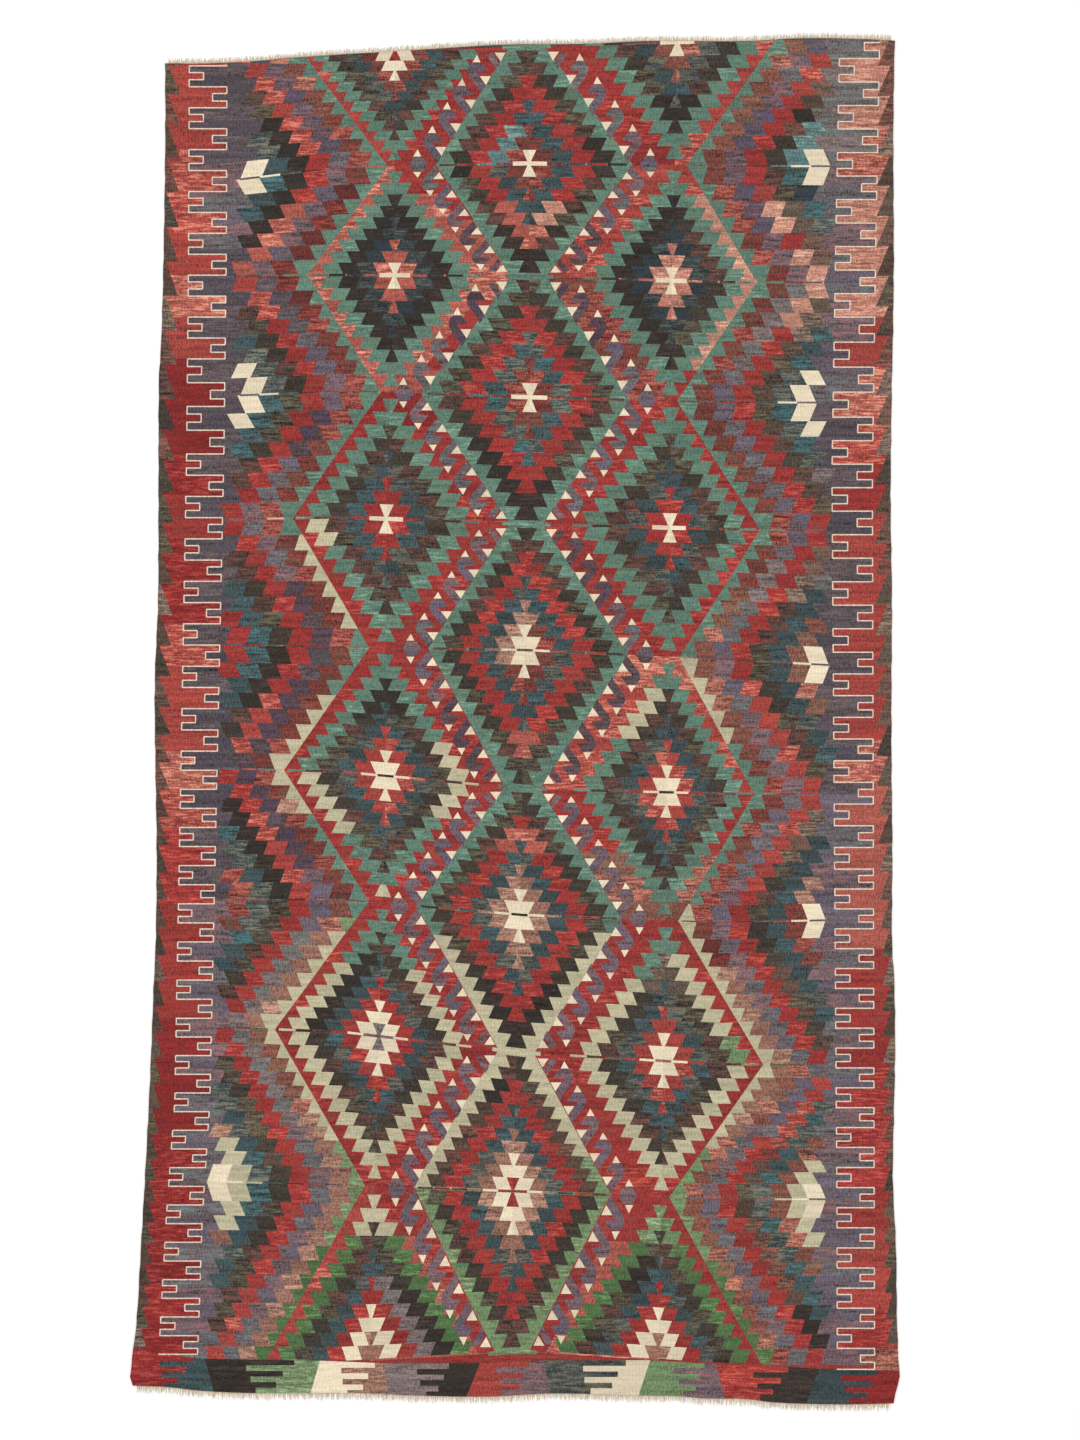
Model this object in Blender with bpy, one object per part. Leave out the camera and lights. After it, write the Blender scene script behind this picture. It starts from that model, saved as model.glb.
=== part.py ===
"""A flat-woven wool kilim rug lying flat, with the frayed warp ends at its head and its foot.

Units are metres. +X runs across the rug, +Y along it from foot to head, +Z is up. The rug rests on
z = 0, and the origin is under the middle of its bounding box.
"""

import math
import random

import bpy

# Driving dimensions
CLOTH_THICKNESS = 0.003
STRIP_THICKNESS = 0.0018  # the warp ends are thinner than the weave
GAP = 0.0003  # between the cloth's edge and the strip that holds the warp ends
STRIP_DEPTH = 0.0028  # the fused roots of the warp ends

SIDE_STEPS = 150  # stretches along each selvedge
END_STEPS = 146  # stretches along each end, one lock of warp ends on each
CORNER_SETBACK = 0.004  # how far the rows of warp ends stop short of the cloth's corners

SELVEDGE_RIPPLE = 0.0009  # how far the weft turns pull the selvedge in and out
RIPPLE_PITCHES = (0.079, 0.034)  # lengths of the two waves in that ripple

LOCK_ROOT_SHARE = 0.74  # width of a lock at its root, as a share of its stretch
LOCK_TIP_WIDTH = 0.0021
LOCK_LENGTH_SPREAD = 0.17  # how much the length of the locks varies, as a share
LOCK_LEAN = 0.0018  # how far a tip leans sideways at most
SEED = 7

# The two selvedges, from head to foot: distance along the rug, left edge, right edge.
SELVEDGES = (
    # along    left     right
    (1.500, -0.771, 0.834),
    (1.306, -0.770, 0.831),
    (1.020, -0.774, 0.832),
    (0.844, -0.779, 0.830),
    (0.756, -0.784, 0.828),
    (0.492, -0.785, 0.825),
    (0.272, -0.786, 0.828),
    (0.096, -0.793, 0.827),
    (-0.080, -0.792, 0.827),
    (-0.278, -0.789, 0.829),
    (-0.476, -0.791, 0.828),
    (-0.564, -0.795, 0.833),
    (-0.718, -0.801, 0.835),
    (-0.872, -0.808, 0.832),
    (-1.004, -0.815, 0.830),
    (-1.158, -0.824, 0.837),
    (-1.312, -0.833, 0.839),
    (-1.411, -0.845, 0.843),
    (-1.440, -0.847, 0.845),
    (-1.458, -0.841, 0.840),
    (-1.500, -0.836, 0.830),
)

# The head's edge, from left to right: distance across the rug, edge of the cloth, length of the warp ends.
HEAD = (
    # across   edge    ends
    (-0.771, 1.452, 0.0130),
    (-0.694, 1.452, 0.0130),
    (-0.588, 1.456, 0.0120),
    (-0.483, 1.465, 0.0115),
    (-0.377, 1.472, 0.0120),
    (-0.272, 1.478, 0.0115),
    (-0.131, 1.487, 0.0120),
    (-0.025, 1.493, 0.0115),
    (0.151, 1.495, 0.0120),
    (0.291, 1.501, 0.0115),
    (0.503, 1.501, 0.0120),
    (0.626, 1.507, 0.0095),
    (0.749, 1.506, 0.0105),
    (0.834, 1.502, 0.0110),
)

# The same for the foot's edge.
FOOT = (
    (-0.841, -1.456, 0.0120),
    (-0.764, -1.459, 0.0115),
    (-0.694, -1.467, 0.0105),
    (-0.588, -1.472, 0.0115),
    (-0.500, -1.472, 0.0135),
    (-0.342, -1.472, 0.0135),
    (-0.236, -1.477, 0.0135),
    (-0.060, -1.480, 0.0135),
    (0.080, -1.473, 0.0140),
    (0.256, -1.477, 0.0135),
    (0.362, -1.479, 0.0135),
    (0.415, -1.484, 0.0125),
    (0.503, -1.485, 0.0160),
    (0.573, -1.493, 0.0150),
    (0.714, -1.497, 0.0170),
    (0.830, -1.495, 0.0135),
)


def smooth_read(stations, where, column):
    """The value in a column of a table at a place along it, on a smooth curve through its rows."""
    rows = sorted(stations)
    last = len(rows) - 1
    where = min(max(where, rows[0][0]), rows[last][0])
    i = next(k for k in range(last) if where <= rows[k + 1][0])
    before, start, end, after = (rows[min(max(k, 0), last)] for k in (i - 1, i, i + 1, i + 2))
    span = end[0] - start[0]
    t = (where - start[0]) / span
    rise_in = (end[column] - before[column]) / (end[0] - before[0]) * span
    rise_out = (after[column] - start[column]) / (after[0] - start[0]) * span
    return (
        (2 * t**3 - 3 * t**2 + 1) * start[column]
        + (t**3 - 2 * t**2 + t) * rise_in
        + (3 * t**2 - 2 * t**3) * end[column]
        + (t**3 - t**2) * rise_out
    )


def selvedge_x(along, column):
    """Where a selvedge lies at a distance along the rug: the woven width with the weft's small ripple."""
    long_wave, short_wave = (2 * math.pi * along / pitch for pitch in RIPPLE_PITCHES)
    ripple = SELVEDGE_RIPPLE * (0.6 * math.sin(long_wave + column) + 0.4 * math.sin(short_wave))
    return smooth_read(SELVEDGES, along, column) + ripple


def corner(stations, side):
    """The cloth's corner where an end meets the left (1) or the right (2) selvedge."""
    across = stations[0][0] if side == 1 else stations[-1][0]
    along = smooth_read(stations, across, 1)
    return selvedge_x(along, side), along


def end_edge(stations):
    """Points of the cloth's edge along an end, from the left corner to the right one."""
    left, right = corner(stations, 1), corner(stations, 2)
    points = []
    for step in range(END_STEPS + 1):
        across = left[0] + (right[0] - left[0]) * step / END_STEPS
        points.append((across, smooth_read(stations, across, 1)))
    return points


def selvedge_edge(column, start, end):
    """Points of a selvedge between two distances along the rug, both ends left out."""
    steps = ((start + (end - start) * step / SIDE_STEPS) for step in range(1, SIDE_STEPS))
    return [(selvedge_x(along, column), along) for along in steps]


def cloth_outline():
    """The cloth's outline, anticlockwise from the left corner of its foot."""
    foot, head = end_edge(FOOT), end_edge(HEAD)
    right = selvedge_edge(2, foot[-1][1], head[-1][1])
    left = selvedge_edge(1, head[0][1], foot[0][1])
    return foot + right + head[::-1] + left


def warp_end_outline(stations, outward, rng):
    """The outline of one row of warp ends: a narrow strip along the cloth's edge and a lock on each stretch.

    outward is +1 at the head and -1 at the foot.
    """
    edge = end_edge(stations)
    low = edge[0][0] + CORNER_SETBACK
    high = edge[-1][0] - CORNER_SETBACK
    row = [p for p in edge if low < p[0] < high]
    inner = [(x, y + outward * GAP) for x, y in row]
    outer = []
    for (x0, y0), (x1, y1) in zip(row, row[1:]):
        pitch = x1 - x0
        half = pitch * LOCK_ROOT_SHARE / 2
        middle = (x0 + x1) / 2
        root = (y0 + y1) / 2 + outward * (GAP + STRIP_DEPTH)
        length = smooth_read(stations, middle, 2) * (1 + LOCK_LENGTH_SPREAD * rng.uniform(-1, 1))
        tip = root + outward * (length - STRIP_DEPTH)
        tip_middle = middle + LOCK_LEAN * rng.uniform(-1, 1)
        outer += [
            (middle - half, root),
            (tip_middle - LOCK_TIP_WIDTH / 2, tip),
            (tip_middle + LOCK_TIP_WIDTH / 2, tip),
            (middle + half, root),
        ]
    first_root = (inner[0][0], outer[0][1])
    last_root = (inner[-1][0], outer[-1][1])
    return inner + [last_root] + outer[::-1] + [first_root]


def middle_of(outlines):
    """The middle, across and along, of the box around all the outlines."""
    points = [point for outline in outlines for point in outline]
    across, along = zip(*points)
    return (min(across) + max(across)) / 2, (min(along) + max(along)) / 2


def flat_piece(name, outline, thickness, middle, material, collection):
    """A flat piece of cloth or yarn: its outline filled, given its thickness, and laid on z = 0."""
    curve = bpy.data.curves.new(name, "CURVE")
    curve.dimensions = "2D"
    curve.fill_mode = "BOTH"
    curve.extrude = thickness / 2
    spline = curve.splines.new("POLY")
    spline.points.add(len(outline) - 1)
    for point, (x, y) in zip(spline.points, outline):
        point.co = (x - middle[0], y - middle[1], 0, 1)
    spline.use_cyclic_u = True
    curve.materials.append(material)
    piece = bpy.data.objects.new(name, curve)
    piece.location.z = thickness / 2
    collection.objects.link(piece)
    return piece


def wool(name, colour, roughness):
    """A plain wool material."""
    material = bpy.data.materials.new(name)
    material.use_nodes = True
    shader = material.node_tree.nodes["Principled BSDF"]
    shader.inputs["Base Color"].default_value = (*colour, 1)
    shader.inputs["Roughness"].default_value = roughness
    shader.inputs["Metallic"].default_value = 0
    return material


def clear_scene():
    for thing in list(bpy.data.objects):
        bpy.data.objects.remove(thing, do_unlink=True)


def build_rug():
    clear_scene()
    rng = random.Random(SEED)
    cloth = cloth_outline()
    head = warp_end_outline(HEAD, 1, rng)
    foot = warp_end_outline(FOOT, -1, rng)
    middle = middle_of((cloth, head, foot))

    rug = bpy.data.collections.new("kilim_rug")
    bpy.context.scene.collection.children.link(rug)
    dyed = wool("dyed_wool_weft", (0.24, 0.09, 0.08), 0.9)
    undyed = wool("undyed_wool_warp", (0.72, 0.64, 0.52), 0.92)
    flat_piece("kilim_cloth", cloth, CLOTH_THICKNESS, middle, dyed, rug)
    flat_piece("fringe_head", head, STRIP_THICKNESS, middle, undyed, rug)
    flat_piece("fringe_foot", foot, STRIP_THICKNESS, middle, undyed, rug)


build_rug()
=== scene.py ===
"""The looks of a flat-woven wool kilim rug: its cloth with the pattern woven in, the raised contour threads
of its finger borders, its frayed warp ends, and a plain studio round it.

Units are metres. +X runs across the rug, +Y along it from foot to head, +Z is up. The rug rests on z = 0.
"""

import math
import random

import bmesh
import bpy
import numpy as np
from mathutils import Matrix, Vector, geometry


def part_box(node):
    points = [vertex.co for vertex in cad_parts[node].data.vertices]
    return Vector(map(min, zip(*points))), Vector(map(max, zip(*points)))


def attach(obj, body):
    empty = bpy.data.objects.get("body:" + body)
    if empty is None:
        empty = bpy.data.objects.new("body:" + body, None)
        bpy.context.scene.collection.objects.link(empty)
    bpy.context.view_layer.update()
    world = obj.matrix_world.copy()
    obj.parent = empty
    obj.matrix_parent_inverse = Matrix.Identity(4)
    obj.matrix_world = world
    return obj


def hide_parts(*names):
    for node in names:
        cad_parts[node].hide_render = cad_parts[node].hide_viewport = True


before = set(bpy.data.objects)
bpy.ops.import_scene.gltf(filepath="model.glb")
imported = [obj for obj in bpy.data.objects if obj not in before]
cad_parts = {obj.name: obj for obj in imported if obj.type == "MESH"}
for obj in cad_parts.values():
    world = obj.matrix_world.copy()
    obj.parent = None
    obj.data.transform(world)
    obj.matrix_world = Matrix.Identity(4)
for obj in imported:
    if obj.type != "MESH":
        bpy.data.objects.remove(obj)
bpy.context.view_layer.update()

bl_info = {
    "name": "Kilim rug",
    "version": (1, 0, 0),
    "blender": (4, 5, 0),
    "location": "3D View > Sidebar > Kilim",
    "description": "Weaves a kilim rug with stepped medallions, finger borders and frayed warp ends",
    "category": "Object",
}

BODY = "root"
WEAVER_SEED = 3  # for the weaver's small errors and the dyes of the selvedge teeth
SEED = 7  # for the shades of the wool, the stitches and the warp ends

# ---- The pattern. Its own measure is in metres too, from a point near the rug's middle.

MIDDLE = (-0.001222, 0.000544)  # the middle of the rug's box, in the pattern's own measure
OUTSIDE = 0.95  # a distance across that lies beyond the rug's sides
PAST_FOOT = -1.56  # a distance along that lies beyond its foot
GROUNDS = ((-1.3, 1.6, "dusk"), (-1.6, -1.3, "red"))  # the lowest patches: from and to along the rug, dye

# The dyes as they look on a screen, 0 to 255. Each is followed by the wools of other shades that were carded
# or woven in with it: how much of them, and their colours.
DYES = {
    "white": ((227, 212, 184), 0.04, (212, 196, 168)),
    "cream": ((184, 176, 146), 0.12, (174, 168, 138)),
    "pink": ((154, 113, 96), 0.50, (120, 78, 68), (170, 130, 112)),
    "rust": ((145, 88, 76), 0.60, (104, 64, 52), (172, 110, 92), (100, 84, 66)),
    "maroon": ((137, 60, 55), 0.60, (82, 54, 44), (150, 86, 72), (92, 70, 56)),
    "wine": ((105, 48, 44), 0.50, (82, 40, 38), (136, 56, 50)),
    "red": ((153, 51, 48), 0.40, (110, 40, 36), (172, 76, 64), (120, 60, 48)),
    "deep red": ((140, 38, 38), 0.40, (96, 36, 34), (156, 64, 56)),
    "tomato": ((164, 69, 61), 0.45, (128, 52, 46), (190, 112, 94), (142, 50, 46)),
    "coral": ((172, 91, 79), 0.45, (142, 70, 58), (204, 134, 112)),
    "rose": ((179, 119, 103), 0.40, (150, 84, 74), (200, 146, 126)),
    "salmon": ((187, 133, 115), 0.35, (164, 104, 90), (212, 164, 142)),
    "green": ((94, 124, 108), 0.30, (66, 98, 90), (116, 146, 126), (92, 104, 84)),
    "leaf": ((114, 134, 96), 0.35, (84, 126, 84), (136, 160, 120)),
    "grass": ((82, 108, 67), 0.35, (54, 98, 58), (96, 134, 84)),
    "petrol": ((67, 77, 77), 0.55, (46, 62, 68), (96, 90, 78), (56, 84, 90)),
    "teal": ((69, 81, 81), 0.55, (48, 72, 78), (104, 102, 88), (60, 100, 104)),
    "sky": ((94, 125, 123), 0.40, (62, 104, 122), (126, 150, 140)),
    "navy": ((52, 58, 59), 0.50, (38, 50, 64), (70, 78, 74)),
    "brown": ((72, 59, 51), 0.60, (94, 60, 54), (48, 46, 38), (84, 80, 64)),
    "olive": ((80, 72, 60), 0.60, (56, 46, 40), (98, 84, 66), (96, 66, 58)),
    "umber": ((93, 70, 60), 0.55, (66, 54, 44), (124, 76, 66)),
    "taupe": ((104, 87, 76), 0.55, (76, 66, 56), (132, 110, 96), (112, 76, 66)),
    "black": ((50, 42, 37), 0.40, (62, 48, 44), (40, 42, 36)),
    "slate": ((106, 92, 97), 0.50, (86, 80, 100), (92, 100, 100), (126, 86, 88)),
    "violet": ((92, 78, 87), 0.50, (76, 68, 90), (112, 82, 86)),
    "dusk": ((89, 78, 82), 0.50, (66, 60, 74), (94, 80, 82)),
    "indigo": ((87, 66, 68), 0.50, (64, 54, 78), (84, 76, 84)),
    "stone": ((116, 102, 99), 0.50, (92, 104, 104), (120, 104, 106)),
    "blue": ((116, 90, 95), 0.50, (82, 84, 104), (104, 90, 98)),
}

# The courses of weft on which the medallions' centres lie, from head to foot: the distance along the rug
# at five places across it.
PLACES = (-0.58, -0.38, 0.02, 0.45, 0.65)
COURSES = (
    (1.486, 1.480, 1.488, 1.502, 1.505),
    (1.200, 1.224, 1.232, 1.227, 1.226),
    (0.985, 0.987, 0.984, 0.971, 0.970),
    (0.723, 0.732, 0.718, 0.707, 0.706),
    (0.450, 0.454, 0.439, 0.428, 0.425),
    (0.173, 0.168, 0.162, 0.142, 0.131),
    (-0.100, -0.106, -0.143, -0.154, -0.155),
    (-0.387, -0.387, -0.421, -0.437, -0.433),
    (-0.670, -0.678, -0.724, -0.749, -0.750),
    (-1.009, -1.014, -1.029, -1.046, -1.046),
    (-1.405, -1.405, -1.381, -1.409, -1.410),
)
LAST = len(COURSES) - 1
# On the same courses, the distance across of the left line, the axis of the left medallions, the left side,
# axis and right side of the middle ones, the axis of the right ones, and the right line.
LEFT_LINE, LEFT_AXIS, MIDDLE_LEFT, MIDDLE_AXIS, MIDDLE_RIGHT, RIGHT_AXIS, RIGHT_LINE = range(7)
GUIDES = (
    (-0.472, -0.265, -0.010, 0.025, 0.060, 0.355, 0.571),
    (-0.281, -0.266, -0.173, 0.030, 0.254, 0.350, 0.377),
    (-0.457, -0.266, -0.006, 0.030, 0.065, 0.344, 0.531),
    (-0.296, -0.275, -0.204, 0.032, 0.248, 0.342, 0.355),
    (-0.490, -0.285, -0.008, 0.024, 0.056, 0.340, 0.538),
    (-0.322, -0.285, -0.188, 0.020, 0.245, 0.337, 0.360),
    (-0.509, -0.285, -0.020, 0.015, 0.050, 0.333, 0.525),
    (-0.322, -0.292, -0.215, 0.009, 0.230, 0.329, 0.358),
    (-0.529, -0.300, -0.033, 0.002, 0.037, 0.325, 0.545),
    (-0.331, -0.310, -0.221, -0.006, 0.207, 0.320, 0.338),
    (-0.551, -0.320, -0.042, -0.007, 0.028, 0.314, 0.542),
)
# On the same courses, from one chevron to the next in the left and in the right fields
PITCHES = (
    (0.0418, 0.0440), (0.0458, 0.0444), (0.0462, 0.0429), (0.0436, 0.0429), (0.0418, 0.0418),
    (0.0451, 0.0405), (0.0396, 0.0418), (0.0447, 0.0403), (0.0363, 0.0396), (0.0438, 0.0376),
    (0.0352, 0.0385),
)

# A place in a medallion or a field is named by its letters: u and d for the halves towards the head and the
# foot, l and r for the left and right of its axis.
HALVES = ((-1, "u"), (1, "d"))
SIDES = ((-1, "l"), (1, "r"))


def mix(a, b, t):
    return a + (b - a) * t


def read(table, column, row):
    """A table's column between two of its rows."""
    above = min(max(math.floor(row), 0), len(table) - 2)
    return mix(table[above][column], table[above + 1][column], row - above)


def guide(column, row):
    return read(GUIDES, column, row)


def course(row, x):
    """Distance along the rug of a course of weft at a distance across."""
    k = 0
    while k < len(PLACES) - 2 and x > PLACES[k + 1]:
        k += 1
    share = (x - PLACES[k]) / (PLACES[k + 1] - PLACES[k])
    return mix(read(COURSES, k, row), read(COURSES, k + 1, row), share)


def along(row, start, end):
    """Points of a course from one distance across to another, with the places where it turns."""
    between = [p for p in PLACES if min(start, end) < p < max(start, end)]
    if end < start:
        between.reverse()
    return [(x, course(row, x)) for x in [start, *between, end]]


def station(table, number, column=1):
    """A table's column where its first column, rising or falling, has a number; straight between its rows."""
    for start, stop in zip(table, table[1:]):
        if (stop[0] - number) * (stop[0] - start[0]) >= 0 or stop is table[-1]:
            return mix(start[column], stop[column], (number - start[0]) / (stop[0] - start[0]))


def plan(row, rows, runs="", **others):
    """A medallion or a field: the course of its centre, how many rows its two halves have, and its runs of
    other dyes as "ring places rows dye", with a comma between two runs and * for all places. A ring is a
    number, from the centre or the line out, or else the ground, a hook, what lies between two hooks, the
    triangles along the line, or what lies beyond the chevrons. A chevron of the dye none isn't woven, and
    ends the row."""
    table = []
    for run in filter(None, runs.split(",")):
        ring, places, span, dye = run.split(maxsplit=3)
        first, _, last = span.partition("-")
        table.append((ring, places.strip("*"), range(int(first), int(last or first) + 1), dye))
    return dict(row=row, rows=rows, runs=table, **others)


def picked(spec, ring, place, row, dye):
    """The dye of a ring in a row: the last run that covers it, or else its own."""
    for run_ring, letters, rows, run_dye in spec["runs"]:
        if run_ring == str(ring) and set(letters) <= set(place) and row in rows:
            dye = run_dye
    return dye


def rows_of(centre, direction, count, near_margin, far_margin):
    """The courses between the rows of a half, from its centre out."""
    span = 1 - near_margin - far_margin
    return [centre + direction * (near_margin + span * k / count) for k in range(count + 1)]


def halves_on_rug(spec):
    """The direction, the letter and the number of rows of each half that lies on the rug."""
    for (direction, half), count in zip(HALVES, spec["rows"]):
        if 0 <= spec["row"] + direction * 0.5 <= LAST:
            yield direction, half, count


UNEVEN = 0.0009  # how far the weaver's eye is out
SLANT = 0.65  # how far a ring's side leans over one row, in steps
POINT = 0.15  # half-width of a ring's point, in steps


class Weaver:
    """Collects the woven patches, each over the ones before it."""

    def __init__(self, seed):
        self.patches = []
        self.rng = random.Random(seed)

    def patch(self, points, dye):
        self.patches.append((points, dye))

    def row(self, far, near, x_far, x_near, dye):
        """A patch between two courses, from x_far[0] to x_far[1] on one and likewise on the other."""
        self.patch(along(far, *x_far) + along(near, *x_near[::-1]), dye)

    def wedge(self, far, near, middles, side, width, step, dye):
        """Half of a medallion's row, out from its axis: less wide on the near course than on the far one."""
        slim = max(width - SLANT * step, POINT * step)
        ends = [(middle, middle + side * wide) for middle, wide in zip(middles, (width, slim))]
        self.row(far, near, *ends, dye)

    def bar(self, row, start, end, half_depth, dye):
        """A thin bar along a course."""
        path = along(row, start, end)
        above = [(x, y + half_depth) for x, y in path]
        below = [(x, y - half_depth) for x, y in path]
        self.patch(above + below[::-1], dye)

    def off(self):
        return self.rng.gauss(0, UNEVEN)


# The medallions. A step is how far the rings of one shift from row to row.
PLAIN_ROWS = 9  # rows in a half whose white centre has one row; each row more adds one to the centre
RINGS = (0.8, 2.75, 4.85, 7.15, 9.3)  # half-widths of the rings beside a centre, in steps, at that many rows
LEAST = 0.45  # a ring narrower than this, in steps, has ended
SHRINK = 1.04  # how much a side medallion's ring draws in from row to row, in steps
NESTED = 0.85  # half-width that each row of the figure in a white centre adds to it, in steps
TONGUE = 1.75  # how far a ring's tongue reaches into the next ring, in steps
TONGUE_ROOT = 0.3  # how far inside its ring a tongue starts, in steps
TONGUE_DEPTH = 0.0026  # half of a tongue's depth
NESTED_TONGUE = 0.95  # what each extra row adds to the tongue of the figure in a centre, in steps
BAR_DEPTH = 0.0046  # half the depth of the bar through a white centre
LINE_ROWS = 1.5  # rows from a medallion's own axis to where its rings meet the line
SIDE_MARGINS = (0.010, 0.050)  # shares of a half: from the axis to the first row, from the last to the point
MIDDLE_MARGINS = (0.010, 0.030)  # the same in a middle medallion, to the neck between it and the next
OUTLINE = 0.0035  # the fine line that joins the triangles along a middle medallion
MIDDLE_DYES = ("white", "maroon", "petrol", "red", "brown")
SIDE_DYES = ("white", "red", "petrol", "brown", "green")


def ring_step(spec, axis, line, direction, count):
    """A medallion's step on one side: set by the line there, or by the spec's reach."""
    centre = spec["row"]
    if line is None:
        reach = spec["reach"]
    else:
        wide = abs(guide(line, centre) - guide(axis, centre))
        slim = abs(guide(line, centre + direction) - guide(axis, centre + direction))
        reach = wide - LINE_ROWS * (wide - slim) / count
    return reach / (RINGS[-1] + count - PLAIN_ROWS)


def medallion(weaver, spec, axis, lines, margins, dyes):
    """The nested stepped rings of one medallion, the figure in its white centre, and its axis's tongues."""
    centre = spec["row"]
    nested = spec.get("nested", "red")
    shrink = 1 if axis == MIDDLE_AXIS else SHRINK
    outside_in = range(len(RINGS) - 1, -1, -1)
    for direction, half, count in halves_on_rug(spec):
        extra = count - PLAIN_ROWS
        bounds = rows_of(centre, direction, count, *margins)
        for (side, hand), line in zip(SIDES, lines):
            step = ring_step(spec, axis, line, direction, count)
            for row, (near, far) in enumerate(zip(bounds, bounds[1:])):
                middles = guide(axis, far), guide(axis, near)
                for ring in outside_in:
                    width = (RINGS[ring] + extra - row * shrink) * step
                    if width < LEAST * step:
                        break
                    dye = picked(spec, ring, half + hand, row, dyes[ring])
                    weaver.wedge(far, near, middles, side, width + weaver.off(), step, dye)
                width = (extra - 1 - row) * NESTED * step
                if width > 0:
                    weaver.wedge(far, near, middles, side, width, step, nested)
    if not spec.get("bars", True):
        return
    direction = 1 if centre < LAST else -1
    count = max(spec["rows"])
    extra = count - PLAIN_ROWS
    middle = guide(axis, centre)
    for (side, hand), line in zip(SIDES, lines):
        step = ring_step(spec, axis, line, direction, count)
        for ring in outside_in:
            edge = (RINGS[ring] + extra - SLANT) * step
            start = edge - TONGUE_ROOT * step if ring else 0
            depth = TONGUE_DEPTH if ring or extra else BAR_DEPTH
            dye = picked(spec, ring, "u" + hand, 0, dyes[ring])
            weaver.bar(centre, middle + side * start, middle + side * (edge + TONGUE * step), depth, dye)
        if extra:
            weaver.bar(centre, middle, middle + side * NESTED_TONGUE * extra * step, TONGUE_DEPTH, nested)


def ground(weaver, spec, axis, lines, margins, dye, past=0.0):
    """The ground of a medallion, row by row, out to the guides on its left and right."""
    centre = spec["row"]
    for direction, half, count in halves_on_rug(spec):
        bounds = rows_of(centre, direction, count, *margins)
        bounds[0], bounds[-1] = centre, centre + direction
        for (side, hand), line in zip(SIDES, lines):
            for row, (near, far) in enumerate(zip(bounds, bounds[1:])):
                ends = [(guide(axis, at), guide(line, at) + side * past) for at in (far, near)]
                weaver.row(far, near, *ends, picked(spec, "ground", half + hand, row, dye))


MIDDLES = (
    plan(1, (9, 9), ground="green", hooks=(5, 6), runs=(
        "hook d 0-2 indigo, between dl 3-5 red, between dr 0-4 tomato, 2 ul 0-2 sky, 3 d 3-6 coral, "
        "3 dr 3-4 salmon, 4 ur 0-1 black, 4 dl 0 black, 4 dl 5-6 black, 4 d 7-8 black"
    )),
    plan(3, (9, 9), ground="green", hooks=(5, 6), runs=(
        "hook u 0-2 indigo, between ul 1-3 red, 2 * 0-9 teal, 4 dl 3-8 black, 4 d 6-8 black"
    )),
    plan(5, (10, 10), ground="green", hooks=(6, 6), nested="olive", runs=(
        "hook ur 0-3 indigo, hook dr 0-6 indigo, hook dl 0-3 indigo, 1 ul 0-3 pink, 1 ur 2-3 pink, "
        "1 dl 0 pink, 3 d 6-7 coral"
    )),
    plan(7, (10, 10), ground="green", hooks=(6, 6), nested="black", runs=(
        "hook * 0-6 blue, 1 * 0-9 pink, 3 u 5-6 coral, 4 d 5-9 black, ground dl 2-9 cream, "
        "ground dr 1-9 cream"
    )),
    plan(9, (11, 11), ground="cream", hooks=(6, 6), nested="red", runs=(
        "hook * 0-6 blue, between d 0-5 red, 1 * 0-10 pink, 4 ul 7-8 black, 4 u 0-6 umber, "
        "ground ur 0-2 leaf, ground d 0-11 leaf"
    )),
)
LEFTS = (
    plan(0, (11, 11), reach=0.185, bars=False, runs="1 * 0-10 maroon, ground dl 0-10 tomato"),
    plan(2, (9, 9), reach=0.170, runs=(
        "1 * 0-9 coral, 2 * 0-9 navy, 3 * 0-9 black, ground ul 0-9 coral, ground d 0-9 coral, "
        "ground ur 0-6 coral"
    )),
    plan(4, (9, 9), reach=0.185, runs="4 dl 0-1 cream, ground u 7-9 deep red"),
    plan(6, (10, 10), reach=0.185, nested="black", runs=(
        "1 * 0-9 tomato, 3 u 5-9 black, 4 r 0-2 cream, 4 dl 0-4 cream, 4 d 9 cream"
    )),
    plan(8, (11, 11), reach=0.185, nested="stone", runs="3 ul 0-6 black, 4 u 0-5 cream, 4 d 0-10 cream"),
    plan(10, (12, 12), reach=0.227, nested="pink", bars=False, runs=(
        "4 u 0-9 grass, 4 u 9-11 cream, 3 ur 0-4 black, ground ul 0-12 tomato, ground ur 0-8 coral, "
        "2 ur 0-5 stone, 0 ur 0-3 white"
    )),
)
RIGHTS = (
    plan(0, (9, 9), reach=0.180, runs="1 * 0-9 rust, 3 * 4-9 black, ground dr 0-9 tomato"),
    plan(2, (9, 9), reach=0.175, runs=(
        "1 * 0-9 rose, 2 * 0-9 navy, 3 l 0-9 black, 3 u 5-9 black, ground u 0-9 tomato, "
        "ground dl 0-9 maroon, ground r 0-6 salmon"
    )),
    plan(4, (9, 9), reach=0.192),
    plan(6, (10, 10), reach=0.185, nested="black", runs=(
        "1 * 0-9 tomato, 4 ul 4-7 cream, ground u 0-7 tomato, ground u 8-9 coral, ground d 5-9 rust"
    )),
    plan(8, (10, 10), reach=0.185, nested="pink", runs=(
        "1 * 0-9 tomato, 3 u 5-9 taupe, 4 ul 0-5 cream, 4 ur 0-7 cream, 4 ur 0-1 leaf, 4 d 0-9 cream"
    )),
    plan(10, (12, 12), reach=0.227, nested="pink", bars=False, runs=(
        "4 u 0-8 grass, 4 u 9-11 leaf, ground ul 0-8 coral, 3 ul 5-7 black"
    )),
)

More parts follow.
